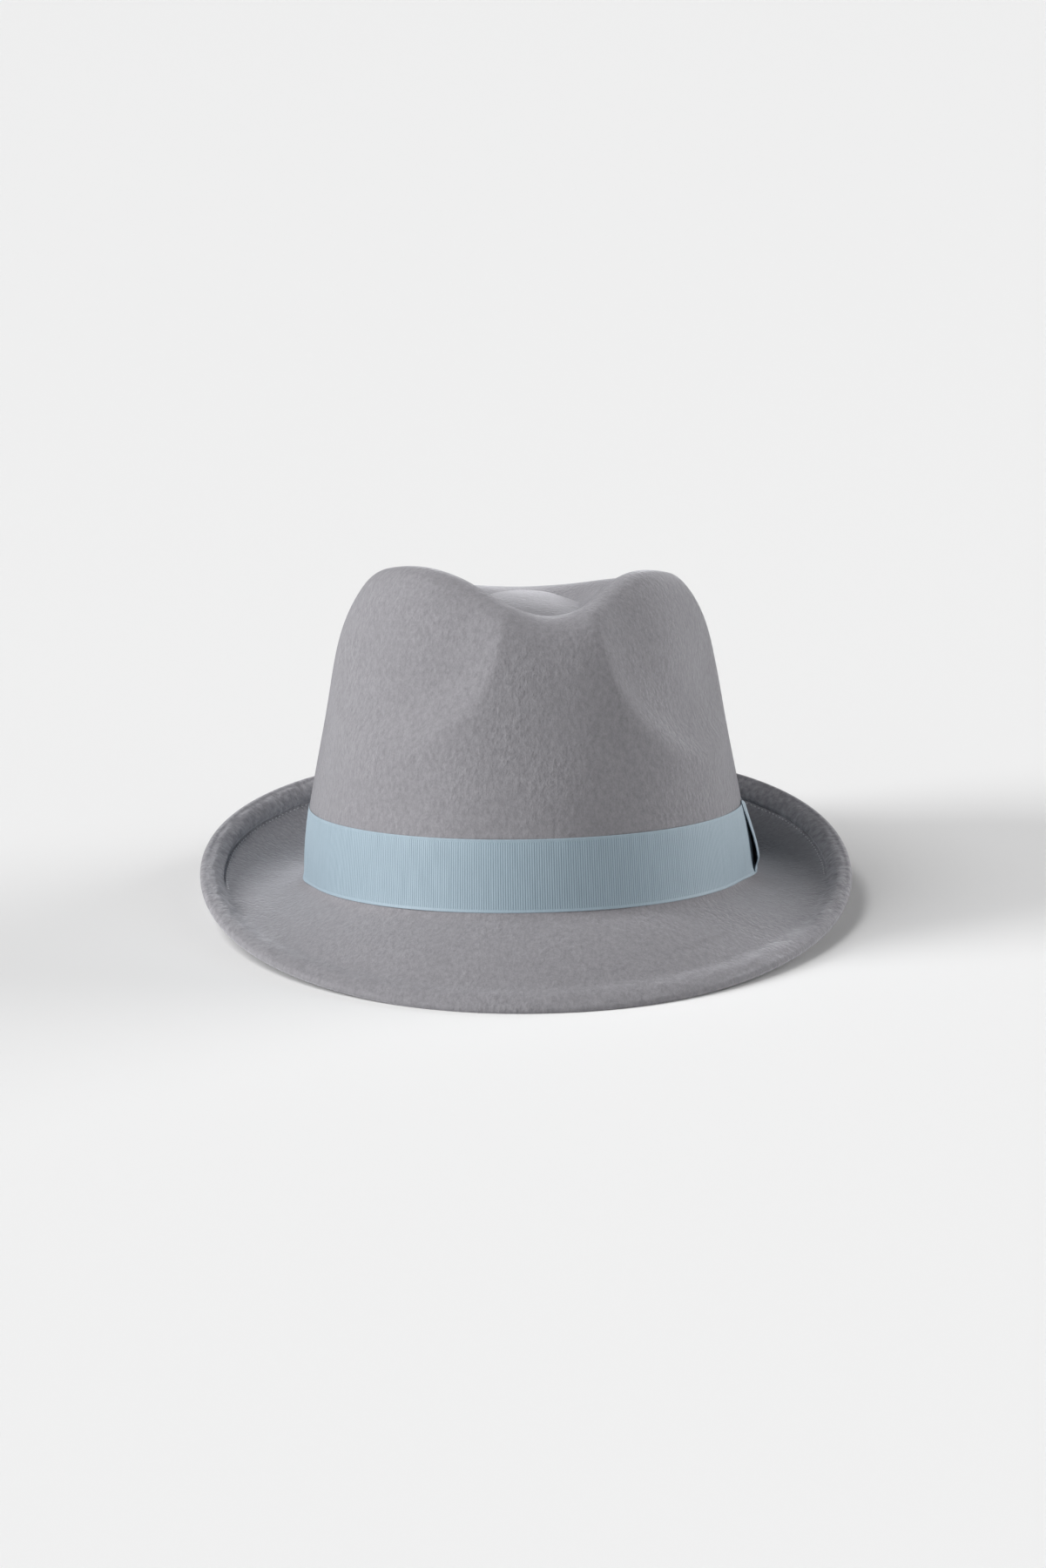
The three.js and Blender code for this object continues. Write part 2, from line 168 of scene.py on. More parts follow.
# Guide rows up the crown, from its foot to the middle of its top: shares of the head opening by station,
# shares of the crown's height by station, and the share of the front dip that the row takes
CROWN = {
    "break": ((1, 1, 1, 1, 1), (0, 0, 0, 0, 0), 0),
    "base": ((1, 0.995, 1.015, 0.995, 0.995), (0.05, 0.05, 0.05, 0.05, 0.05), 0),
    "band_top": ((0.985, 0.975, 0.995, 0.98, 0.975), (0.22, 0.21, 0.2, 0.2, 0.2), 0),
    "low_wall": ((0.955, 0.95, 0.945, 0.94, 0.94), (0.42, 0.395, 0.37, 0.375, 0.38), 0),
    "mid_wall": ((0.92, 0.935, 0.885, 0.895, 0.9), (0.62, 0.6, 0.575, 0.56, 0.55), 0),
    "high_wall": ((0.885, 0.92, 0.825, 0.845, 0.86), (0.82, 0.82, 0.81, 0.76, 0.76), 0.15),
    "shoulder": ((0.845, 0.815, 0.7, 0.745, 0.79), (0.97, 1.005, 0.93, 0.885, 0.87), 0.7),
    "crest": ((0.77, 0.7, 0.62, 0.66, 0.695), (1.05, 1.04, 0.96, 0.925, 0.865), 1),
    "inner_lip": ((0.665, 0.585, 0.48, 0.545, 0.6), (0.98, 0.95, 0.95, 0.895, 0.86), 0.6),
    "valley": ((0.54, 0.47, 0.39, 0.445, 0.5), (0.88, 0.83, 0.82, 0.815, 0.81), 0.1),
    "island_edge": ((0.4, 0.345, 0.28, 0.32, 0.36), (0.87, 0.86, 0.86, 0.855, 0.85), 0),
    "island_top": ((0.17, 0.145, 0.12, 0.135, 0.15), (0.905, 0.905, 0.905, 0.905, 0.905), 0),
    "island_mid": ((0, 0, 0, 0, 0), (0.905, 0.905, 0.905, 0.905, 0.905), 0),
}

# The dip in the crown's front edge, in shares of the crown's height and degrees, and the top's sideways lean
FRONT_DIP = {"depth": 0.16, "centre": 6, "half_width": 26, "sharpness": 1.9}
TOP_LEAN = 0.015

# The two front pinches, each a scoop with a firm edge: side, centre in degrees, slant toward the front in
# degrees per crown height, middle as a share of the crown's height, reach outward and inward in degrees,
# reach down and up in shares, and depth as a share of the head's width. Below, how flat the scoop's floor is,
# how firm its edge, and where, in shares of the head's width, it fades toward the middle of the top
PINCHES = (
    {
        "side": -1, "centre": -36, "slant": 25, "middle": 0.75,
        "outer": 36, "inner": 25, "down": 0.26, "up": 0.5, "depth": 0.04,
    },
    {
        "side": 1, "centre": 45, "slant": 28, "middle": 0.72,
        "outer": 34, "inner": 24, "down": 0.29, "up": 0.5, "depth": 0.053,
    },
)
PINCH_FLOOR = 1.4
PINCH_EDGE = 1.2
PINCH_INNER = 0.18
PINCH_FADE = 0.2

# The bow's pieces from the crown out: where they start and end as shares of the bow's length, their lower
# and upper edges at the ends and at the waist as shares of the band's height, their thickness, and the stand
# of both ends in shares
KNOT_HALF = KNOT_WIDTH / 2 / BOW_LENGTH
TAIL = {
    "from": 0.12, "to": 1.08, "ends": (0.05, 0.95), "waist": (0.12, 0.86),
    "thick": RIBBON_PLY, "stand": (0, 0.25),
}
LOOP = {
    "from": 0, "to": 1, "ends": (0.03, 1.05), "waist": (0.1, 0.88),
    "thick": LOOP_PLIES * RIBBON_PLY, "stand": (1, 0.5),
}
WRAP = {
    "from": 0.5 - KNOT_HALF, "to": 0.5 + KNOT_HALF, "ends": (0.06, 0.92), "waist": (0.06, 0.92),
    "thick": RIBBON_PLY, "stand": (0, 0),
}
BOW = (TAIL, LOOP, WRAP)

# The share of the bow's length over which a piece climbs onto the one below it, and the share of its height
# at which it stands off most
BOW_RAMP = 0.1
BOW_BULGE_AT = 0.2

# Fineness of the meshes and of the searches
COLUMNS = 360
WALK_STEPS = 24
SEARCH_STEPS = 26
EDGE_TURNS = 12
RIB_COLUMNS = 5
RIM_STEPS = 2001
ROUND_STEPS = 1441
BAND_STEPS = 721
TILT_LIMITS = (-0.3, 0.5)
SMALL = 1e-3
INSIDE_ROWS = {"brim": 16, "wall": 24, "top": 26, "island": 8}
OUTSIDE_ROWS = {"brim": 26, "wall": 50, "top": 46, "island": 14}

# Places along the felt's section, counted in guides from the rim (0) to the middle of the crown's top, and
# where the brim's rows end on the felt's inner and outer faces
BREAK = len(BRIM_SHARES)
WALL_TOP = BREAK + list(CROWN).index("high_wall")
VALLEY = BREAK + list(CROWN).index("valley")
POLE = BREAK + list(CROWN).index("island_mid")
INSIDE_FOOT = BREAK + 0.5
OUTSIDE_FOOT = BREAK - 1

# Slight unevenness of hand-shaped felt, and of its rim: size, number of waves and their lengths
UNEVEN = 0.12
UNEVEN_WAVES = 7
UNEVEN_LENGTHS = (22, 60)
RIM_UNEVEN = 0.2
RIM_WAVES = 14
RIM_LENGTHS = (5, 12)

# The rim is rolled and brushed up at the sides and back, where its colour is also lightened as a painted
# highlight: degrees from the front where that starts and is full, and the width over which it fades inward
BRUSHED_FROM = 40
BRUSHED_FULL = 85
BRUSHED_FADE = 5

# The parts of a slow irregular wave: turns round the hat, how far each follows the phase, and size
WAVER_TURNS = np.array((5, 13, 29))
WAVER_FOLLOWS = np.array((1, 2.3, 1))
WAVER_SIZES = np.array((1, 1, 0.6))

RANDOM = np.random.default_rng(11)


def smooth(value):
    x = np.clip(value, 0, 1)
    return x * x * (3 - 2 * x)


def wrap(angle):
    return angle - 2 * np.pi * np.round(angle / (2 * np.pi))


def unit(vectors):
    return vectors / np.maximum(np.linalg.norm(vectors, axis=-1, keepdims=True), TINY)


def walked_along(line):
    """The distance along a line of points up to each of them."""
    return np.concatenate([[0], np.cumsum(np.linalg.norm(np.diff(line, axis=0), axis=1))])


def around(angle, values):
    """A cosine series through values at evenly spaced stations from the front to the back."""
    last = len(values) - 1
    order = np.arange(last + 1)
    half = np.where(order % last == 0, 0.5, 1.0)
    weights = np.cos(np.pi * np.outer(order, order) / last) @ (np.asarray(values) * half)
    return np.cos(np.multiply.outer(angle, order)) @ (weights * half) * 2 / last


def outward(angle):
    """The direction out of the head opening, level."""
    return unit(np.stack([np.sin(angle) / HEAD_WIDTH, -np.cos(angle) / HEAD_LENGTH, 0 * angle], -1))


def oval_points(angle, reach, height):
    """The head opening's oval, scaled by a reach and set at a height."""
    sine = np.sin(angle)
    cosine = np.cos(angle)
    grow = (np.abs(cosine) ** HEAD_OVAL + np.abs(sine) ** HEAD_OVAL) ** (-1 / HEAD_OVAL)
    across = HEAD_WIDTH / 2 * reach * grow * sine
    along = HEAD_LENGTH / 2 * reach * grow * cosine
    return np.stack([across, -along, height + 0 * angle], -1)


def brim_guide(angle, share):
    """Walks out along the brim, whose slope changes from the crown to the rim."""
    first = np.radians(around(angle, BRIM["at_break"]))
    last = np.radians(around(angle, BRIM["at_rim"]))
    step = BRIM_WIDTH * around(angle, BRIM["width"]) * share / WALK_STEPS
    walked = (np.arange(WALK_STEPS) + 0.5) / WALK_STEPS * share
    slope = first[:, None] + (last - first)[:, None] * walked ** BRIM_CURL
    reach = step * np.cos(slope).sum(-1)
    rise = step * np.sin(slope).sum(-1)
    return oval_points(angle, 1, rise) + outward(angle) * reach[:, None]


def crown_guide(angle, row):
    reach, rise, dip_share = row
    turn = np.abs(wrap(angle - math.radians(FRONT_DIP["centre"]))) / math.radians(FRONT_DIP["half_width"])
    dip = FRONT_DIP["depth"] * np.exp(-turn ** FRONT_DIP["sharpness"]) + TOP_LEAN * np.sin(angle)
    height = (around(angle, rise) - dip * dip_share) * CROWN_HEIGHT
    return oval_points(angle, around(angle, reach), height)


def weights_at(place):
    """The first of the four guides round each place on a smooth uniform curve, and the guides' weights."""
    span = np.clip(np.floor(place), 0, POLE - 1).astype(int)
    t = place - span
    rows = ((1 - t) ** 3, 3 * t ** 3 - 6 * t ** 2 + 4, -3 * t ** 3 + 3 * t ** 2 + 3 * t + 1, t ** 3)
    return span, np.stack(rows, -1) / 6


def pinch_depth(points, angle):
    """How deep the pinches press the felt in."""
    height = points[..., 2] / CROWN_HEIGHT
    radius = np.hypot(points[..., 0], points[..., 1]) / HEAD_WIDTH
    near_top = smooth((radius - PINCH_INNER) / PINCH_FADE)
    total = np.zeros_like(height)
    for pinch in PINCHES:
        along = height - pinch["middle"]
        turned = wrap(angle - math.radians(pinch["centre"])) * pinch["side"]
        across = turned[:, None] + math.radians(pinch["slant"]) * along
        width = np.radians(np.where(across > 0, pinch["outer"], pinch["inner"]))
        length = np.where(along > 0, pinch["up"], pinch["down"])
        off = (across / width) ** 2 + (along / length) ** 2
        pressed = np.maximum(1 - off ** PINCH_FLOOR, 0) ** PINCH_EDGE
        total += pinch["depth"] * HEAD_WIDTH * pressed * near_top
    return total


class Felt:
    """The felt's outer surface over a set of angles round the hat."""

    def __init__(self, angle):
        self.angle = angle
        rows = [brim_guide(angle, share) for share in BRIM_SHARES]
        rows += [crown_guide(angle, row) for row in CROWN.values()]
        rows = [2 * rows[0] - rows[1], *rows, 2 * rows[-1] - rows[-2]]
        self.guides = np.stack(rows, 1)

    def at(self, place):
        """Points at an array of places, one row of it for each angle."""
        span, weights = weights_at(place)
        column = np.arange(len(self.angle))[:, None, None]
        guides = self.guides[column, span[..., None] + np.arange(4)]
        points = (guides * weights[..., None]).sum(-2)
        level = points * (1, 1, 0)
        return points - unit(level) * pinch_depth(points, self.angle)[..., None]

    def normal(self, place):
        """Directions out of the felt."""
        after = Felt(self.angle + SMALL).at(place)
        before = Felt(self.angle - SMALL).at(place)
        along = self.at(np.minimum(place + SMALL, POLE)) - self.at(np.maximum(place - SMALL, 0))
        out = unit(np.cross(after - before, along))
        out[place > POLE - SMALL] = (0, 0, 1)
        return out

    def lifted(self, place, lift):
        return self.at(place) + self.normal(place) * (lift + 0 * place)[..., None]

    def from_rim(self, distance):
        """The places on the brim that lie given distances in from the rim."""
        width = BRIM_WIDTH * around(self.angle, BRIM["width"])
        shares = np.array([2 * BRIM_SHARES[0] - BRIM_SHARES[1], *BRIM_SHARES, 0, 0])
        steps = np.linspace(0, BREAK - 1, RIM_STEPS)
        span, weights = weights_at(steps)
        known = (shares[span[:, None] + np.arange(4)] * weights).sum(-1)
        return np.interp(-(1 - distance / width[:, None]), -known, steps)

    def wall(self, height, off):
        """Points off the crown's wall at heights over its foot."""
        low = np.full(height.shape, BREAK - 1.0)
        high = np.full(height.shape, float(WALL_TOP))
        for _ in range(SEARCH_STEPS):
            middle = (low + high) / 2
            below = self.at(middle)[..., 2] < height
            low = np.where(below, middle, low)
            high = np.where(below, high, middle)
        return self.at((low + high) / 2) + outward(self.angle)[:, None, :] * off[..., None]


def face_places(start, foot, rows):
    """All places of one face of the section, from places on the brim up to the pole."""
    stretches = (
        (start, foot, rows["brim"]),
        (foot, WALL_TOP, rows["wall"]),
        (WALL_TOP, VALLEY, rows["top"]),
        (VALLEY, POLE, rows["island"]),
    )
    parts = []
    for low, high, count in stretches:
        share = np.arange(count) / count
        parts.append(np.asarray(low).reshape(-1, 1) + (high - np.asarray(low)).reshape(-1, 1) * share)
    columns = len(parts[0])
    return np.concatenate([np.broadcast_to(part, (columns, part.shape[1])) for part in parts], 1)


def waver(angle, phase):
    """A slow irregular wave round the hat, within 1 either way."""
    waves = np.sin(np.multiply.outer(angle, WAVER_TURNS) + phase * WAVER_FOLLOWS)
    return waves @ WAVER_SIZES / WAVER_SIZES.sum()


def away_from_front(angle, start, full):
    """Rises from 0 to 1 between two numbers of degrees either side of the front."""
    turned = np.degrees(np.abs(wrap(angle)))
    return smooth((turned - start) / (full - start))


def crisp(angle):
    """How sharply the turned edge shows: fully at the sides and back, not at all at the pressed front."""
    return away_from_front(angle, HEM_SMOOTH_TO, HEM_CRISP_FROM)


def brushed_side(angle):
    """How far the rim's felt is rolled and brushed up and painted lighter as a highlight: fully at the sides
    and back, not at the front.
    """
    return away_from_front(angle, BRUSHED_FROM, BRUSHED_FULL)


def hem_width(angle):
    """The turned edge's width round the hat."""
    return HEM_WIDTH + WIDTH_WAVE * waver(angle, 2)


def hem_rows(angle):
    """Distances from the rim and lifts over the felt's face, across the turned edge to the open brim."""
    lift = FELT * HEM_PRESSED * (1 + THICKNESS_WAVE * waver(angle, 1))
    radius = (FELT + FELT * HEM_PRESSED) / 2
    inner = hem_width(angle)
    rows = []
    for share in np.linspace(HEM_FIRST_ROW, 1, HEM_ROWS):
        puff = FELT * HEM_PUFFED * np.sin(np.pi * share) ** PUFF_POWER
        rows.append((radius + (inner - LIP - radius) * share, lift + puff))
    for turn in np.radians(LIP_TURNS):
        rows.append((inner - LIP + LIP * np.sin(turn), lift - (lift + GROOVE) * (1 - np.cos(turn))))
    for step, depth in GROOVE_STEPS:
        rows.append((inner + step, 0 * angle - depth * GROOVE))
    for step, depth in CHANNEL_STEPS:
        rows.append((inner + step, 0 * angle - depth * CHANNEL))
    for step in OPEN_STEPS:
        rows.append((inner + CHANNEL_STEPS[-1][0] + step, 0 * angle))
    distance = np.stack([row[0] for row in rows], 1)
    sharp = np.stack([row[1] for row in rows], 1)
    fall = (distance - HEM_SOFT[0]) / (HEM_SOFT[1] - HEM_SOFT[0])
    roll = FELT * HEM_ROLL * np.sin(np.pi * np.clip(distance / HEM_WIDTH, 0, 1)) ** 2
    soft = lift[:, None] * (1 - smooth(fall)) + roll * brushed_side(angle)[:, None]
    share = crisp(angle)[:, None]
    return distance, sharp * share + soft * (1 - share)


def random_waves(count, lengths):
    """Directions, with wavelengths within limits, and phases of a set of waves."""
    vectors = unit(RANDOM.normal(size=(count, 3))) * 2 * np.pi / RANDOM.uniform(*lengths, size=(count, 1))
    return vectors, RANDOM.uniform(0, 2 * np.pi, count)


SLOW_WAVES = random_waves(UNEVEN_WAVES, UNEVEN_LENGTHS)
FAST_WAVES = random_waves(RIM_WAVES, RIM_LENGTHS)


def uneven(points, waves, size):
    """A small smooth lift that differs from place to place."""
    vectors, phases = waves
    return size * np.sin(points @ vectors.T + phases).sum(-1) / math.sqrt(len(phases))


def felt_sections():
    """The felt's sections, from inside the crown round the rim and back up, and how near the rim they are."""
    felt = Felt(2 * np.pi * np.arange(COLUMNS) / COLUMNS)
    hem_lift = FELT * HEM_PRESSED
    radius = (FELT + hem_lift) / 2
    edge = felt.from_rim(np.full((COLUMNS, 1), radius))
    inside = face_places(edge, INSIDE_FOOT, INSIDE_ROWS)[:, :0:-1]
    distance, lift = hem_rows(felt.angle)
    hem = felt.from_rim(distance)
    outside = face_places(hem[:, -1:], OUTSIDE_FOOT, OUTSIDE_ROWS)[:, 1:]
    centre = felt.lifted(edge, (hem_lift - FELT) / 2)
    tip = unit(felt.at(0 * edge) - felt.at(edge))
    up = felt.normal(edge)
    turn = -np.pi / 2 + np.pi * np.arange(EDGE_TURNS + 1) / EDGE_TURNS
    rounded = centre + radius * (tip * np.cos(turn)[None, :, None] + up * np.sin(turn)[None, :, None])
    inner = felt.lifted(inside, -FELT)
    outer = felt.lifted(outside, 0)
    outer += felt.normal(outside) * uneven(outer, SLOW_WAVES, UNEVEN * smooth(POLE - outside))[..., None]
    turned = felt.lifted(hem, lift)
    fuzzy = RIM_UNEVEN * smooth((HEM_SOFT[1] - distance) / HEM_SOFT[0])
    turned += felt.normal(hem) * uneven(turned, FAST_WAVES, fuzzy)[..., None]
    brushed_and_highlight = smooth((HEM_WIDTH + BRUSHED_FADE - distance) / BRUSHED_FADE)
    nearness = np.concatenate([0 * inside, np.ones(turn.shape) + 0 * edge, brushed_and_highlight, 0 * outside], 1)
    nearness = nearness * brushed_side(felt.angle)[:, None]
    return np.concatenate([inner, rounded, turned, outer], 1), nearness


SECTIONS, RIM_NEARNESS = felt_sections()


def resting_tilt(points):
    """How the bare hat rests: tipped back until the front rim and the back of the brim touch."""
    front = points[points[:, 1] < 0]
    rear = points[points[:, 1] >= 0]
    low, high = TILT_LIMITS
    for _ in range(SEARCH_STEPS):
        tilt = (low + high) / 2
        lowest = [(half[:, 2] * math.cos(tilt) - half[:, 1] * math.sin(tilt)).min() for half in (front, rear)]
        if lowest[0] < lowest[1]:
            low = tilt
        else:
            high = tilt
    return (low + high) / 2


TILT = resting_tilt(SECTIONS.reshape(-1, 3))
LEVEL = np.array([
    (1, 0, 0),
    (0, math.cos(TILT), math.sin(TILT)),
    (0, -math.sin(TILT), math.cos(TILT)),
])
TILTED = SECTIONS.reshape(-1, 3) @ LEVEL.T
LOWEST = TILTED.min(0)
CENTRE = (LOWEST + TILTED.max(0)) / 2


def settle(points):
    """Sets points down as the hat rests, with the felt pressed flat where it touches, in metres."""
    placed = points @ LEVEL.T
    placed = placed - (CENTRE[0], CENTRE[1], LOWEST[2] + PRESSED_FLAT)
    placed[..., 2] = np.maximum(placed[..., 2], 0)
    return placed * MM


def make_piece(name, points, faces, material, nodes, marks=None):
    """A smooth mesh object that rides on the hat's body, stands for its CAD nodes and carries marks."""
    mesh = bpy.data.meshes.new(name)
    mesh.from_pydata(points.reshape(-1, 3).tolist(), [], faces)
    mesh.polygons.foreach_set("use_smooth", np.ones(len(mesh.polygons), dtype=bool))
    if marks is not None:
        attribute = mesh.attributes.new("marks", "FLOAT_VECTOR", "POINT")
        attribute.data.foreach_set("vector", marks.reshape(-1).astype(np.float32))
    mesh.materials.append(material)
    mesh.update()
    piece = bpy.data.objects.new(name, mesh)
    bpy.context.scene.collection.objects.link(piece)
    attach(piece, BODY)
    if nodes:
        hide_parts(*nodes)
    return piece


def strip_faces(columns, rows, round_hat, round_section):
    """Quads over a grid of points, which may close round the hat and round its own section."""
    column = np.arange(columns if round_hat else columns - 1)
    row = np.arange(rows if round_section else rows - 1)
    here = column[:, None] * rows
    there = (column[:, None] + 1) % columns * rows
    above = (row + 1) % rows
    quads = np.stack([here + row, there + row, there + above, here + above], -1)
    return quads.reshape(-1, 4).tolist()


class Nodes:
    """A material under construction."""

    def __init__(self, name):
        self.material = bpy.data.materials.new(name)
        self.material.use_nodes = True
        self.tree = self.material.node_tree
        self.shader = self.tree.nodes["Principled BSDF"]

    def add(self, kind, inputs=None, **settings):
        node = self.tree.nodes.new(kind)
        for key, value in settings.items():
            setattr(node, key, value)
        for key, value in (inputs or {}).items():
            if isinstance(value, bpy.types.NodeSocket):
                self.tree.links.new(value, node.inputs[key])
            else:
                node.inputs[key].default_value = value
        return node

    def noise(self, vector, size, detail, roughness):
        """Noise whose features have about a given size in millimetres."""
        inputs = {"Vector": vector, "Scale": 1 / (size * MM), "Detail": detail, "Roughness": roughness}
        return self.add("ShaderNodeTexNoise", inputs).outputs["Fac"]

    def math(self, operation, first, second=0.0, third=0.0):
        return self.add("ShaderNodeMath", {0: first, 1: second, 2: third}, operation=operation).outputs[0]

    def ramp(self, factor, stops):
        node = self.add("ShaderNodeValToRGB", {"Fac": factor})
        elements = node.color_ramp.elements
        for index, (place, colour) in enumerate(stops):
            element = elements[index] if index < len(elements) else elements.new(place)
            element.position = place
            element.color = (*colour, 1)
        return node.outputs["Color"]

    def blend(self, factor, first, second, blend_type="MIX"):
        inputs = {"Factor": factor, 6: first, 7: second}
        return self.add("ShaderNodeMix", inputs, data_type="RGBA", blend_type=blend_type).outputs[2]

    def bump(self, height, depth, normal=None):
        inputs = {"Height": height, "Distance": depth * MM, "Strength": 1.0}
        if normal is not None:
            inputs["Normal"] = normal
        return self.add("ShaderNodeBump", inputs).outputs["Normal"]

    def finish(self, colour, normal, **sockets):
        self.tree.links.new(colour, self.shader.inputs["Base Color"])
        self.tree.links.new(normal, self.shader.inputs["Normal"])
        for name, value in sockets.items():
            self.shader.inputs[name.replace("_", " ")].default_value = value
        return self.material


# Colours, in linear light
FELT_DARK = (0.202, 0.197, 0.211)
FELT_LIGHT = (0.297, 0.291, 0.309)
FELT_SHEEN = (0.9, 0.9, 0.95, 1)
RIBBON_DARK = (0.14, 0.195, 0.235)
RIBBON_LIGHT = (0.33, 0.42, 0.485)
THREAD_GREY = (0.55, 0.55, 0.57)
FLOOR_WHITE = (0.87, 0.87, 0.87, 1)

# Noises in the felt, the ribbon and the thread: size of their features, detail and roughness
FLOCKS = {"size": 1.7, "detail": 2.0, "roughness": 0.5}
FIBRES = {"size": 0.6, "detail": 2.0, "roughness": 0.7}
CLOUDS = {"size": 24, "detail": 3.0, "roughness": 0.5}
TUFTS = {"size": 2.8, "detail": 1.5, "roughness": 0.5}
RIB_TONES = {"size": 0.7, "detail": 2.0, "roughness": 0.6}
CROSS_THREADS = {"size": 0.22, "detail": 2.0, "roughness": 0.6}
TWIST = {"size": 0.25, "detail": 1.0, "roughness": 0.5}

# How deep they stand in relief
FLOCK_DEPTH = 0.5
FIBRE_DEPTH = 0.1
TUFT_DEPTH = 0.35
CROSS_DEPTH = 0.03
TWIST_DEPTH = 0.04

# How the noises are drawn out: the felt's upward, the ribs' tones up each rib, the threads along the ribbon
UPRIGHT = (1, 1, 0.7)
UP_EACH_RIB = (1, 0.04, 0)
ALONG_RIBBON = (0.25, 1, 0)


def grey(value):
    return (value, value, value)


def felt_material():
    """Wool felt: upright flocks pressed into relief, fine fuzz, slow mottling, a velvety sheen and a painted
    highlight on the brushed rim.
    """
    nodes = Nodes("wool_felt")
    coords = nodes.add("ShaderNodeTexCoord").outputs["Object"]
    upright = nodes.add("ShaderNodeMapping", {"Vector": coords, "Scale": UPRIGHT}).outputs[0]
    flocks = nodes.noise(upright, **FLOCKS)
    fibres = nodes.noise(upright, **FIBRES)
    clouds = nodes.noise(coords, **CLOUDS)
    patches = nodes.ramp(clouds, ((0.4, grey(0.3)), (0.6, grey(1))))
    grain = nodes.math("MULTIPLY_ADD", fibres, 0.5, nodes.math("MULTIPLY", flocks, 0.5))
    colour = nodes.ramp(grain, ((0.3, FELT_DARK), (0.7, FELT_LIGHT)))
    mottle = nodes.ramp(clouds, ((0.3, grey(0.95)), (0.7, grey(1))))
    colour = nodes.blend(1.0, colour, mottle, "MULTIPLY")
    marks = nodes.add("ShaderNodeAttribute", attribute_name="marks").outputs["Vector"]
    nearness = nodes.add("ShaderNodeSeparateXYZ", {0: marks}).outputs["X"]
    tufts = nodes.noise(coords, **TUFTS)
    raised = nodes.math("MULTIPLY", tufts, nearness)
    # Near the brushed rim the colour is mottled, which is a real tone, and mostly lightened, which is a
    # painted highlight
    brushed_and_highlight = nodes.ramp(tufts, ((0.35, grey(0.95)), (0.65, grey(1.3))))
    colour = nodes.blend(nearness, colour, nodes.blend(1.0, colour, brushed_and_highlight, "MULTIPLY"))
    relief = nodes.math("MULTIPLY", flocks, patches)
    normal = nodes.bump(relief, FLOCK_DEPTH)
    normal = nodes.bump(raised, TUFT_DEPTH, normal)
    normal = nodes.bump(fibres, FIBRE_DEPTH, normal)
    return nodes.finish(
        colour, normal, Roughness=0.95, Specular_IOR_Level=0.2,
        Sheen_Weight=0.75, Sheen_Roughness=0.4, Sheen_Tint=FELT_SHEEN,
    )


def ribbon_material():
    """Grosgrain: each rib a little different, painted shade between the ribs, crossed by fine threads."""
    nodes = Nodes("grosgrain_ribbon")
    threads = nodes.add("ShaderNodeAttribute", attribute_name="marks").outputs["Vector"]
    ridge = nodes.add("ShaderNodeSeparateXYZ", {0: threads}).outputs["Z"]
    one_rib = nodes.add("ShaderNodeMapping", {"Vector": threads, "Scale": UP_EACH_RIB}).outputs[0]
    ribs = nodes.noise(one_rib, **RIB_TONES)
    crossing = nodes.add("ShaderNodeMapping", {"Vector": threads, "Scale": ALONG_RIBBON}).outputs[0]
    crossed = nodes.noise(crossing, **CROSS_THREADS)
    tone_and_rib_shade = nodes.math("MULTIPLY_ADD", ribs, 0.3, nodes.math("MULTIPLY", crossed, 0.2))
    # Painted shade: the colour is darker between the ribs and lighter along their ridges
    tone_and_rib_shade = nodes.math("ADD", tone_and_rib_shade, nodes.math("MULTIPLY", ridge, 0.5))
    colour = nodes.ramp(tone_and_rib_shade, ((0.2, RIBBON_DARK), (0.75, RIBBON_LIGHT)))
    return nodes.finish(
        colour, nodes.bump(crossed, CROSS_DEPTH), Roughness=0.55, Specular_IOR_Level=0.4,
        Sheen_Weight=0.15, Sheen_Roughness=0.4,
    )


def thread_material():
    """Sewing thread with a slight twist."""
    nodes = Nodes("sewing_thread")
    coords = nodes.add("ShaderNodeTexCoord").outputs["Object"]
    twist = nodes.noise(coords, **TWIST)
    lighter = tuple(value * 1.2 for value in THREAD_GREY)
    colour = nodes.ramp(twist, ((0.35, THREAD_GREY), (0.65, lighter)))
    return nodes.finish(colour, nodes.bump(twist, TWIST_DEPTH), Roughness=0.7, Sheen_Weight=0.2)


FELT_LOOK = felt_material()
RIBBON_LOOK = ribbon_material()
THREAD_LOOK = thread_material()


def build_felt():
    """Crown, brim and turned edge as one closed solid."""
    rows = SECTIONS.shape[1]
    points = settle(SECTIONS).reshape(-1, 3)
    pole = np.full((1, 1), float(POLE))
    ends = [settle(Felt(np.zeros(1)).lifted(pole, lift)).reshape(-1, 3) for lift in (-FELT, 0)]
    points = np.concatenate([points, *ends])
    faces = strip_faces(COLUMNS, rows, True, False)
    inner = COLUMNS * rows
    for column in range(COLUMNS):
        here = column * rows
        there = (column + 1) % COLUMNS * rows
        faces.append((inner, there, here))
        faces.append((inner + 1, here + rows - 1, there + rows - 1))
    marks = np.zeros(points.shape)
    marks[:inner, 0] = RIM_NEARNESS.reshape(-1)
    make_piece("felt_hat", points, faces, FELT_LOOK, ["felt_body"], marks)


def stitch_faces(count):
    """Faces of a row of stitches, each with its rings of points first and its two tips last."""
    per = STITCH_RINGS * STITCH_SPOKES + 2
    faces = []
    for stitch in range(count):
        base = stitch * per
        last = base + (STITCH_RINGS - 1) * STITCH_SPOKES
        for spoke in range(STITCH_SPOKES):
            after = (spoke + 1) % STITCH_SPOKES
            for low in range(base, last, STITCH_SPOKES):
                high = low + STITCH_SPOKES
                faces.append((low + spoke, low + after, high + after, high + spoke))
            faces.append((base + per - 2, base + after, base + spoke))
            faces.append((base + per - 1, last + spoke, last + after))
    return faces


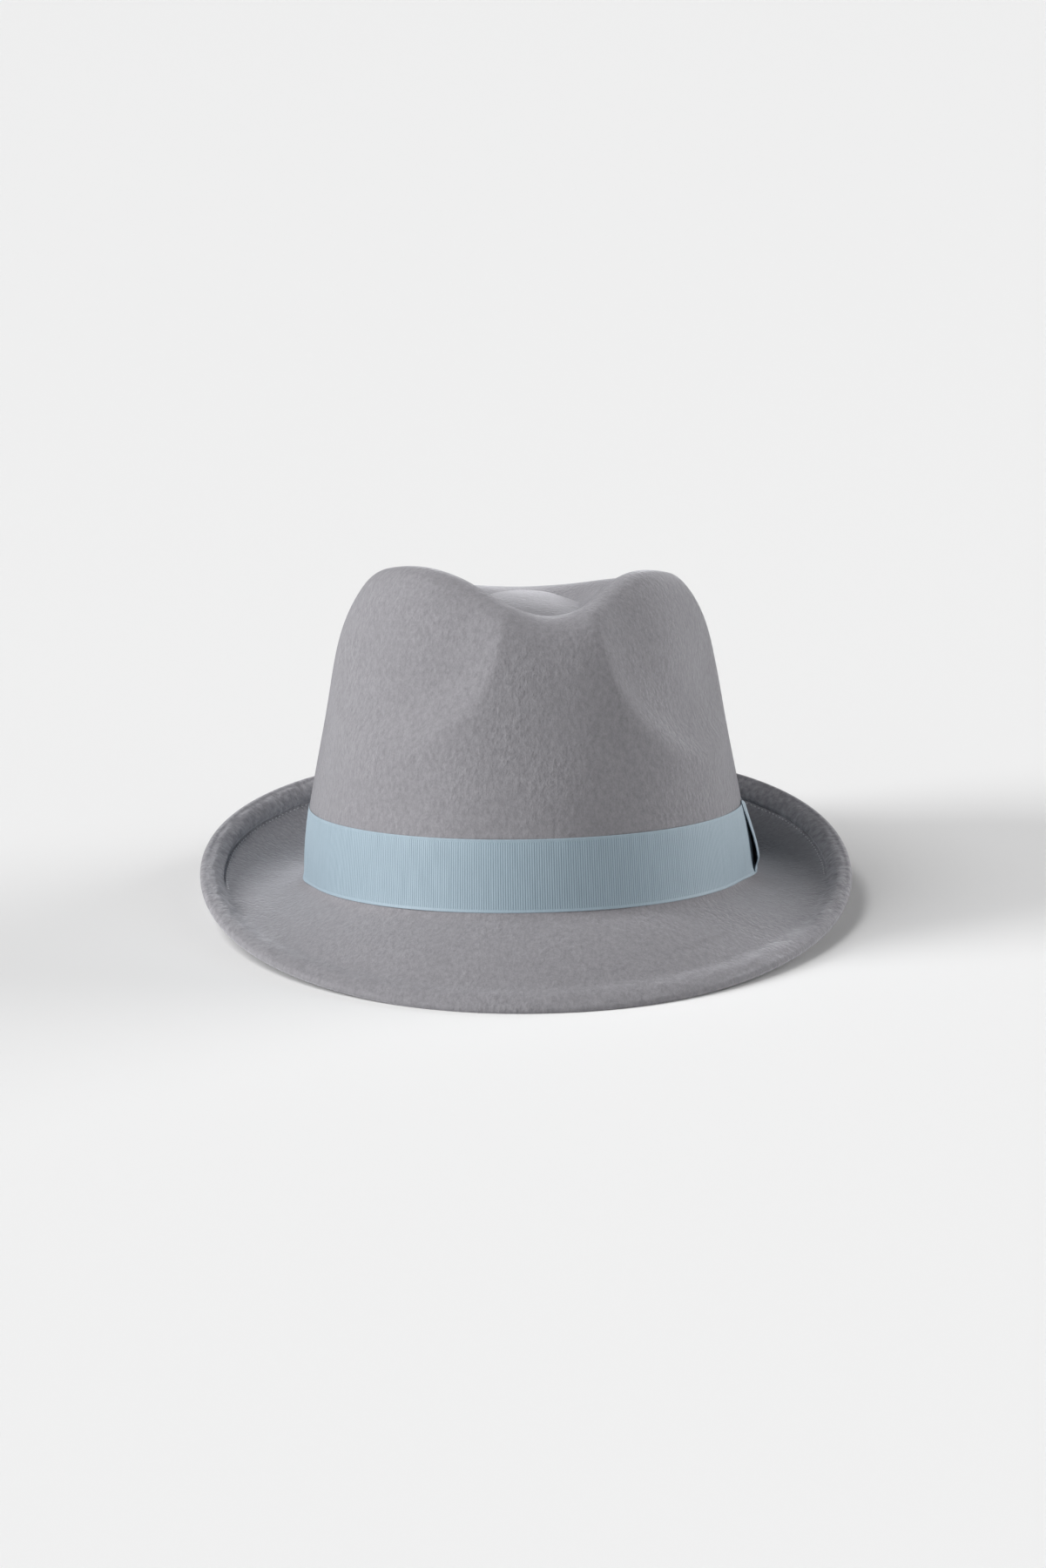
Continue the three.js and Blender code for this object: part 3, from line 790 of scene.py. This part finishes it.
def build_stitches():
    """A row of short thread stitches in the channel beside the turned edge."""
    fine = Felt(np.linspace(0, 2 * np.pi, ROUND_STEPS))
    inner = hem_width(fine.angle) + CHANNEL_AT
    walked = walked_along(fine.at(fine.from_rim(inner[:, None]))[:, 0])
    count = round(walked[-1] / STITCH_PITCH)
    spots = (np.arange(count) + RANDOM.uniform(-STITCH_STRAY, STITCH_STRAY, count)) * walked[-1] / count
    angle = np.interp(spots, walked, fine.angle)
    angle = angle[crisp(angle) > STITCHES_SHOW]
    count = len(angle)
    felt = Felt(angle)
    stray = RANDOM.uniform(-STITCH_STRAY_ACROSS, STITCH_STRAY_ACROSS, count)
    inner = hem_width(angle) + CHANNEL_AT + stray
    place = felt.from_rim(inner[:, None])
    up = felt.normal(place)[:, 0]
    centre = felt.at(place)[:, 0] + up * (STITCH_THICK * STITCH_STANDS - CHANNEL)
    ahead = Felt(angle + SMALL)
    run = unit(ahead.at(place)[:, 0] - felt.at(place)[:, 0])
    side = np.cross(up, run)
    slant = RANDOM.uniform(-STITCH_SLANT, STITCH_SLANT, count)[:, None]
    run, side = run * np.cos(slant) + side * np.sin(slant), side * np.cos(slant) - run * np.sin(slant)
    length = STITCH_LENGTH / 2 * RANDOM.uniform(*STITCH_LENGTHS, count)[:, None, None, None]
    latitude = (np.pi * (np.arange(STITCH_RINGS) + 1) / (STITCH_RINGS + 1))[None, :, None, None]
    longitude = (2 * np.pi * np.arange(STITCH_SPOKES) / STITCH_SPOKES)[None, None, :, None]
    reach = -np.cos(latitude) * length * run[:, None, None]
    girth = np.sin(latitude) ** STITCH_BLUNT * STITCH_THICK / 2
    shell = reach + girth * (side[:, None, None] * np.cos(longitude) + up[:, None, None] * np.sin(longitude))
    shell = (shell + centre[:, None, None]).reshape(count, -1, 3)
    tips = np.stack([centre - length[:, 0, 0] * run, centre + length[:, 0, 0] * run], 1)
    points = settle(np.concatenate([shell, tips], 1))
    make_piece("hem_stitches", points, stitch_faces(count), THREAD_LOOK, [])


def ribbon_profile(width, thick):
    """Round a ribbon's section: heights over its lower edge, depths from its inner face, and rib shares."""
    rows = [(row["rise"], row["depth"] * thick - row["sunk"], row["rib"]) for row in RIBBON_EDGE]
    open_rows = [(width * share, thick, 1) for share in OPEN_ROWS if width * share > OPEN_OVER]
    upper = [(width - rise, depth, rib) for rise, depth, rib in reversed(rows)]
    back = [(width * share, 0.0, 0) for share in BACK_ROWS]
    return np.array(rows + open_rows + upper + back)


def rib_ridge(distance):
    """The rounded ridge of each rib, from 0 between ribs to 1 along its middle."""
    return np.abs(np.sin(np.pi * distance / RIB_PITCH)) ** RIB_BLUNT


def ribbed(profile, distance):
    """The ribs' ridge at each point of a ribbon, and the point's depth from the ribbon's inner face."""
    ridge = rib_ridge(distance)[:, None] * profile[:, 2]
    return ridge, profile[:, 1] - RIB_DEPTH * (profile[:, 2] - ridge)


def threads_of(distance, profile, ridge):
    """How far along and up a ribbon each point lies, in metres, and the painted shade by its place on the
    rib.
    """
    along = np.broadcast_to(distance[:, None], ridge.shape) * MM
    upward = np.broadcast_to(profile[:, 0], ridge.shape) * MM
    tone_and_rib_shade = np.where(profile[:, 2] < 1, EDGE_RIB_SHADE, ridge)
    return np.stack([along, upward, tone_and_rib_shade], -1)


def band_columns():
    """Angles that lie evenly along the band, the distance along its ribs of each, and the band's length."""
    fine = Felt(np.linspace(0, 2 * np.pi, BAND_STEPS))
    middle = np.full((BAND_STEPS, 1), BAND_LOW + BAND_HEIGHT / 2)
    walked = walked_along(fine.wall(middle, SEAT + RIBBON_PLY + 0 * middle)[:, 0])
    total = walked[-1]
    ribs = round(total / RIB_PITCH)
    spots = np.arange(ribs * RIB_COLUMNS) * total / (ribs * RIB_COLUMNS)
    return np.interp(spots, walked, fine.angle), spots * ribs * RIB_PITCH / total, total


def band_lift(angle, height):
    """How far the band stands off the felt beside the bow and over the brim's sides."""
    up_share = np.clip((height - BAND_LOW) / BAND_HEIGHT, 0, 1)
    lift = 0 * height
    for stand in BAND_STANDS:
        turned = np.abs(wrap(angle - math.radians(stand["middle"])))
        near = smooth(1 - turned / math.radians(stand["half_width"]))
        flare = stand["flare"] * np.exp(-up_share / FLARE_FADE)
        lift = lift + near * (stand["belly"] * np.sqrt(1 - up_share) + flare)
    return lift


def build_band():
    """The grosgrain band, with its ribs upright."""
    angle, distance, total = band_columns()
    profile = ribbon_profile(BAND_HEIGHT, RIBBON_PLY)
    ridge, depth = ribbed(profile, distance)
    heights = np.broadcast_to(BAND_LOW + profile[:, 0], depth.shape)
    off = SEAT + depth + band_lift(angle[:, None], heights)
    points = settle(Felt(angle).wall(heights, off))
    faces = strip_faces(len(angle), len(profile), True, True)
    threads = threads_of(distance, profile, ridge)
    piece = make_piece("ribbon_band", points, faces, RIBBON_LOOK, ["hat_band"], threads)


def bow_angle(share):
    return math.radians(BOW_ANGLE) + BOW_LENGTH * share / (HEAD_LENGTH / 2)


def end_share(share):
    """How near a place along the bow is to its end, from 0 beside the knot to 1."""
    return smooth((np.abs(share - 0.5) - KNOT_HALF) / (0.5 - KNOT_HALF))


def bow_points(piece, share, up_share, lift):
    """Points of a bow piece by share of the bow's length, share of its own height and lift over its seat."""
    near_end = end_share(share)
    low, high = (waist + (end - waist) * near_end for waist, end in zip(piece["waist"], piece["ends"]))
    heights = BAND_LOW + BAND_HEIGHT * (low + (high - low) * up_share)
    under = SEAT + RIBBON_PLY + LAID + band_lift(bow_angle(share), heights)
    for lower in BOW[:BOW.index(piece)]:
        under = under + (lower["thick"] + LAID) * smooth((share - lower["from"]) / BOW_RAMP + 1)
    rising = up_share / BOW_BULGE_AT
    falling = (1 - up_share) / (1 - BOW_BULGE_AT)
    bulge = smooth(np.where(up_share < BOW_BULGE_AT, rising, falling))
    stand = BOW_STAND * np.where(share < 0.5, *piece["stand"])
    off = under + stand * near_end * bulge + lift
    flat = Felt(bow_angle(share).reshape(-1))
    return flat.wall(heights.reshape(-1, 1), off.reshape(-1, 1)).reshape(*lift.shape, 3)


def closed_ends(columns, rows):
    """Faces over both open ends of a strip whose section is closed."""
    last = (columns - 1) * rows
    return [tuple(range(rows)), tuple(range(last + rows - 1, last - 1, -1))]


def bow_width(piece):
    return BAND_HEIGHT * (piece["ends"][1] - piece["ends"][0])


def build_bow_tail():
    """The ribbon's tail under the bow, one ply."""
    length = BOW_LENGTH * (TAIL["to"] - TAIL["from"])
    width = bow_width(TAIL)
    ribs = round(length / RIB_PITCH)
    share = np.linspace(TAIL["from"], TAIL["to"], ribs * RIB_COLUMNS + 1)
    distance = np.linspace(0, ribs * RIB_PITCH, len(share))
    profile = ribbon_profile(width, TAIL["thick"])
    ridge, lift = ribbed(profile, distance)
    up_share = np.broadcast_to(profile[:, 0] / width, lift.shape)
    points = settle(bow_points(TAIL, np.broadcast_to(share[:, None], lift.shape), up_share, lift))
    faces = strip_faces(len(share), len(profile), False, True) + closed_ends(len(share), len(profile))
    threads = threads_of(distance, profile, ridge)
    made = make_piece("bow_tail", points, faces, RIBBON_LOOK, ["bow_under"], threads)


def build_bow_loop():
    """The bow's ribbon, folded back on itself into a flat loop with a rounded fold at each end."""
    width = bow_width(LOOP)
    turn_radius = LOOP["thick"] / 2
    straight = BOW_LENGTH * (LOOP["to"] - LOOP["from"]) - 2 * turn_radius
    bend = np.pi * (turn_radius - RIBBON_PLY / 2)
    length = 2 * straight + 2 * bend
    ribs = round(length / RIB_PITCH)
    count = ribs * RIB_COLUMNS
    walked = np.arange(count) * length / count
    # The path runs along the outer ply, round the rear fold, back along the inner ply
    # and round the front fold
    rear_turn = np.clip((walked - straight) / bend, 0, 1)
    front_turn = np.clip((walked - 2 * straight - bend) / bend, 0, 1)
    run = np.clip(walked, 0, straight) - np.clip(walked - straight - bend, 0, straight)
    facing = np.pi / 2 - np.pi * (rear_turn + front_turn)
    profile = ribbon_profile(width, RIBBON_PLY)
    distance = walked * ribs * RIB_PITCH / length
    ridge, depth = ribbed(profile, distance)
    reach = turn_radius - RIBBON_PLY + depth
    share = LOOP["from"] + (turn_radius + run[:, None] + reach * np.cos(facing)[:, None]) / BOW_LENGTH
    lift = turn_radius + reach * np.sin(facing)[:, None]
    up_share = np.broadcast_to(profile[:, 0] / width, lift.shape)
    points = settle(bow_points(LOOP, share, up_share, lift))
    faces = strip_faces(count, len(profile), True, True)
    threads = threads_of(distance, profile, ridge)
    made = make_piece("bow_loop", points, faces, RIBBON_LOOK, ["bow_over"], threads)


def build_bow_wrap():
    """The ribbon wrapped over the bow's middle, with its ribs level and its ends turned in behind."""
    height = bow_width(WRAP)
    ribs = round(height / RIB_PITCH)
    climbed = np.linspace(0, 1, ribs * RIB_COLUMNS + 1)
    near_edge = np.maximum(np.abs(climbed - 0.5) * height - height / 2 + WRAP_TURN, 0) / WRAP_TURN
    turned_in = WRAP_TURN * (1 - np.sqrt(np.clip(1 - near_edge ** 2, 0, 1)))
    profile = ribbon_profile(KNOT_WIDTH, WRAP["thick"])
    ridge, depth = ribbed(profile, climbed * ribs * RIB_PITCH)
    lift = depth - turned_in[:, None]
    across = np.broadcast_to(profile[:, 0], lift.shape)
    share = WRAP["from"] + (WRAP["to"] - WRAP["from"]) * across / KNOT_WIDTH
    climb = np.broadcast_to(climbed[:, None], lift.shape)
    points = settle(bow_points(WRAP, share, climb, lift))
    threads = np.stack([climb * height * MM, across * MM, ridge], -1)
    columns = len(climbed)
    faces = strip_faces(columns, len(profile), False, True) + closed_ends(columns, len(profile))
    faces = [face[::-1] for face in faces]
    made = make_piece("bow_wrap", points, faces, RIBBON_LOOK, ["bow_knot"], threads)


build_felt()
build_stitches()
build_band()
build_bow_tail()
build_bow_loop()
build_bow_wrap()

# Floor: half its side, in metres
FLOOR_HALF = 30


def build_floor():
    mesh = bpy.data.meshes.new("floor")
    corners = [(x * FLOOR_HALF, y * FLOOR_HALF, 0) for x, y in ((-1, -1), (1, -1), (1, 1), (-1, 1))]
    mesh.from_pydata(corners, [], [(0, 1, 2, 3)])
    look = bpy.data.materials.new("studio_floor")
    look.use_nodes = True
    shader = look.node_tree.nodes["Principled BSDF"]
    shader.inputs["Base Color"].default_value = FLOOR_WHITE
    shader.inputs["Roughness"].default_value = 0.9
    shader.inputs["Specular IOR Level"].default_value = 0.1
    mesh.materials.append(look)
    floor = bpy.data.objects.new("floor", mesh)
    bpy.context.scene.collection.objects.link(floor)


build_floor()

# Studio light: azimuth and elevation that each soft sun shines from, its width and its strength
SUNS = {
    "key": {"azimuth": -78, "elevation": 22, "width": 22, "strength": 2.35},
    "high": {"azimuth": -72, "elevation": 55, "width": 35, "strength": 1.65},
    "front_low": {"azimuth": -45, "elevation": 12, "width": 45, "strength": 0.3},
    "front_right": {"azimuth": 45, "elevation": 30, "width": 45, "strength": 0.2},
    "right_low": {"azimuth": 105, "elevation": 12, "width": 45, "strength": 2.5},
}

# The white surround's strength as it lights the hat, and as the camera sees it
SURROUND = 0.07
BACKDROP = 0.85


def build_lights():
    for name, shine in SUNS.items():
        light = bpy.data.lights.new(name, "SUN")
        light.energy = shine["strength"]
        light.angle = math.radians(shine["width"])
        sun = bpy.data.objects.new(name, light)
        sun.rotation_euler = (math.radians(90 - shine["elevation"]), 0, math.radians(shine["azimuth"]))
        bpy.context.scene.collection.objects.link(sun)
    world = bpy.data.worlds.new("studio")
    world.use_nodes = True
    tree = world.node_tree
    seen = tree.nodes["Background"]
    seen.inputs["Color"].default_value = (1, 1, 1, 1)
    seen.inputs["Strength"].default_value = BACKDROP
    lit = tree.nodes.new("ShaderNodeBackground")
    lit.inputs["Color"].default_value = (1, 1, 1, 1)
    lit.inputs["Strength"].default_value = SURROUND
    mix = tree.nodes.new("ShaderNodeMixShader")
    path = tree.nodes.new("ShaderNodeLightPath")
    tree.links.new(path.outputs["Is Camera Ray"], mix.inputs["Fac"])
    tree.links.new(lit.outputs[0], mix.inputs[1])
    tree.links.new(seen.outputs[0], mix.inputs[2])
    tree.links.new(mix.outputs[0], tree.nodes["World Output"].inputs["Surface"])
    bpy.context.scene.world = world


build_lights()

# Camera: the photograph's viewing angle in degrees, its distance, target and sensor in millimetres, its
# focal length in pixels of the frame's long side, and how far it sees, in metres
VIEW_AZIMUTH = -2.9
VIEW_ELEVATION = 14.85
VIEW_ROLL = -0.64
VIEW_DISTANCE = 1700
VIEW_TARGET = (-1.07, 0, 50.0)
SENSOR = 36
LONG_SIDE = 1801
FOCAL_PIXELS = 5040
FAR_CLIP = 100


def build_camera():
    azimuth = math.radians(VIEW_AZIMUTH)
    elevation = math.radians(VIEW_ELEVATION)
    roll = math.radians(VIEW_ROLL)
    back = np.array((
        math.sin(azimuth) * math.cos(elevation),
        -math.cos(azimuth) * math.cos(elevation),
        math.sin(elevation),
    ))
    right = np.array((math.cos(azimuth), math.sin(azimuth), 0))
    up = np.cross(back, right)
    rolled_right = right * math.cos(roll) + up * math.sin(roll)
    rolled_up = up * math.cos(roll) - right * math.sin(roll)
    eye = (np.array(VIEW_TARGET) + back * VIEW_DISTANCE) * MM
    matrix = np.identity(4)
    matrix[:3, :4] = np.stack([rolled_right, rolled_up, back, eye], 1)
    data = bpy.data.cameras.new("camera")
    data.sensor_width = SENSOR
    data.lens = SENSOR * FOCAL_PIXELS / LONG_SIDE
    data.clip_end = FAR_CLIP
    camera = bpy.data.objects.new("camera", data)
    camera.matrix_world = matrix.T.tolist()
    bpy.context.scene.collection.objects.link(camera)
    bpy.context.scene.camera = camera


build_camera()
bpy.context.scene.view_settings.view_transform = "Standard"

bpy.context.view_layer.update()
